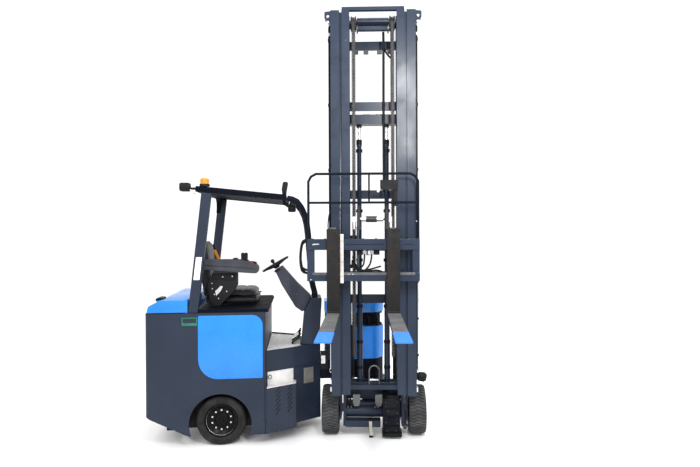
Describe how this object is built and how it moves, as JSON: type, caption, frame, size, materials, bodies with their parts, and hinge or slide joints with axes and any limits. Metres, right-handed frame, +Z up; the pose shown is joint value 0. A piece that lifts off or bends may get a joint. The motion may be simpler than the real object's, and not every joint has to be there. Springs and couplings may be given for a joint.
{
  "type": "articulated multidirectional forklift truck",
  "caption": "Electric articulated forklift with a lifting, tilting mast on a front frame that swings either way, seat, overhead guard and side-shifting forks.",
  "frame": {"origin": "middle of the truck's bounding box, on the floor", "axes": "+Z up, +X ahead of the chassis, +Y to its left; the front frame stands turned 96.8 degrees to the right"},
  "size_m": [2.4928, 2.4504, 3.8122],
  "materials": {
    "dark_paint": "satin",
    "blue_paint": "gloss",
    "black_plastic": "matte",
    "black_vinyl": "satin",
    "tyre_rubber": "matte",
    "rim_black": "satin",
    "bright_plate": "satin",
    "cast_iron": "matte",
    "battery_case": "matte",
    "fork_steel": "rough",
    "chrome_rod": "polished",
    "chain_steel": "oiled",
    "amber_lens": "gloss"
  },
  "bodies": {
    "chassis": {"rear_body": "dark_paint", "seat_deck": "dark_paint", "counterweight": "cast_iron", "battery": "battery_case", "rear_axle": "dark_paint", "foot_well": "dark_paint", "cowl": "dark_paint", "steering_column": "dark_paint", "nose_arm": "dark_paint", "nose_panel": "blue_paint", "nose_hood": "blue_paint", "guard_roof": "dark_paint", "seat_suspension": "black_plastic", "seat_cushion": "black_vinyl", "seat_backrest": "black_vinyl", "armrest_console": "black_plastic", "beacon": "amber_lens", "rear_lamp": "black_plastic", "front_lamp_top": "black_plastic", "front_lamp_low": "black_plastic", "side_panel_left": "blue_paint", "side_panel_right": "blue_paint", "step_plate_left": "bright_plate", "step_plate_right": "bright_plate", "guard_post_left": "dark_paint", "guard_post_right": "dark_paint", "guard_leg_left": "dark_paint", "guard_leg_right": "dark_paint"},
    "bonnet_lid": {"bonnet": "blue_paint"},
    "steering": {"steering_wheel": "black_plastic"},
    "front_frame": {"front_frame": "dark_paint", "drive_box": "black_plastic"},
    "mast_outer": {"mast_outer": "dark_paint", "lift_barrel_left": "dark_paint", "lift_barrel_right": "dark_paint", "hose_run_left": "black_plastic", "hose_run_right": "black_plastic"},
    "mast_middle": {"mast_middle": "dark_paint", "lift_rod_left": "chrome_rod", "lift_rod_right": "chrome_rod"},
    "mast_inner": {"mast_inner": "dark_paint", "chain_left": "chain_steel", "chain_right": "chain_steel"},
    "carriage": {"carriage": "dark_paint"},
    "forks": {"shift_frame": "dark_paint", "load_backrest": "dark_paint", "fork_left": "fork_steel", "fork_right": "fork_steel"},
    "rear_wheel_left": {"tyre_rear_left": "tyre_rubber", "rim_rear_left": "rim_black"},
    "front_wheel_left": {"tyre_front_left": "tyre_rubber", "rim_front_left": "rim_black"},
    "tilt_barrel_left": {"tilt_barrel_left": "black_plastic"},
    "tilt_rod_left": {"tilt_rod_left": "chrome_rod"},
    "rear_wheel_right": {"tyre_rear_right": "tyre_rubber", "rim_rear_right": "rim_black"},
    "front_wheel_right": {"tyre_front_right": "tyre_rubber", "rim_front_right": "rim_black"},
    "tilt_barrel_right": {"tilt_barrel_right": "black_plastic"},
    "tilt_rod_right": {"tilt_rod_right": "chrome_rod"}
  },
  "joints": [
    {"name": "bonnet_hinge", "type": "hinge", "parent": "chassis", "child": "bonnet_lid", "pos_m": [-0.88742, 0.72017, 1.27518], "axis": [0, 1, 0], "range_deg": [0, 70]},
    {"name": "steering_turn", "type": "hinge", "parent": "chassis", "child": "steering", "pos_m": [-0.15742, 0.72017, 1.55018], "axis": [-0.5, 0, 0.866], "continuous": true},
    {"name": "articulation", "type": "hinge", "parent": "chassis", "child": "front_frame", "pos_m": [0.78858, 0.72017, 0.40018], "axis": [0, 0, 1], "range_deg": [-3.2, 196.8]},
    {"name": "rear_wheel_spin_left", "type": "hinge", "parent": "chassis", "child": "rear_wheel_left", "pos_m": [-0.61142, 1.10717, 0.21418], "axis": [0, 1, 0], "continuous": true},
    {"name": "front_wheel_spin_left", "type": "hinge", "parent": "front_frame", "child": "front_wheel_left", "pos_m": [1.14801, 0.39835, 0.21718], "axis": [0.993, -0.1184, 0], "continuous": true},
    {"name": "rear_wheel_spin_right", "type": "hinge", "parent": "chassis", "child": "rear_wheel_right", "pos_m": [-0.61142, 0.33317, 0.21418], "axis": [0, 1, 0], "continuous": true},
    {"name": "front_wheel_spin_right", "type": "hinge", "parent": "front_frame", "child": "front_wheel_right", "pos_m": [0.36357, 0.49189, 0.21718], "axis": [0.993, -0.1184, 0], "continuous": true},
    {"name": "mast_tilt", "type": "hinge", "parent": "front_frame", "child": "mast_outer", "pos_m": [0.74596, 0.3627, 0.51018], "axis": [0.993, -0.1184, 0], "range_deg": [-3, 2]},
    {"name": "mast_lift", "type": "slide", "parent": "mast_outer", "child": "mast_middle", "axis": [0, 0, 1], "range_m": [0, 2]},
    {"name": "inner_lift", "type": "slide", "parent": "mast_middle", "child": "mast_inner", "axis": [0, 0, 1], "range_m": [0, 2]},
    {"name": "free_lift", "type": "slide", "parent": "mast_inner", "child": "carriage", "axis": [0, 0, 1], "range_m": [-1.1, 1.7]},
    {"name": "side_shift", "type": "slide", "parent": "carriage", "child": "forks", "axis": [0.993, -0.1184, 0], "range_m": [-0.01, 0.19]},
    {"name": "tilt_barrel_swing_left", "type": "hinge", "parent": "front_frame", "child": "tilt_barrel_left", "pos_m": [0.96373, 0.45758, 0.50018], "axis": [0.993, -0.1184, 0], "range_deg": [-3.2, 2.2]},
    {"name": "tilt_rod_stroke_left", "type": "slide", "parent": "tilt_barrel_left", "child": "tilt_rod_left", "axis": [-0.0016, -0.0134, 0.9999], "range_m": [-0.0075, 0.0055]},
    {"name": "tilt_barrel_swing_right", "type": "hinge", "parent": "front_frame", "child": "tilt_barrel_right", "pos_m": [0.55661, 0.50613, 0.50018], "axis": [0.993, -0.1184, 0], "range_deg": [-3.2, 2.2]},
    {"name": "tilt_rod_stroke_right", "type": "slide", "parent": "tilt_barrel_right", "child": "tilt_rod_right", "axis": [-0.0016, -0.0134, 0.9999], "range_m": [-0.0075, 0.0055]}
  ],
  "couplings": [
    {"joint": "inner_lift", "follows": "mast_lift", "ratio": 1},
    {"joint": "tilt_barrel_swing_left", "follows": "mast_tilt", "ratio": 0.9856},
    {"joint": "tilt_rod_stroke_left", "follows": "mast_tilt", "m_per_rad": 0.12},
    {"joint": "tilt_barrel_swing_right", "follows": "mast_tilt", "ratio": 0.9856},
    {"joint": "tilt_rod_stroke_right", "follows": "mast_tilt", "m_per_rad": 0.12}
  ]
}
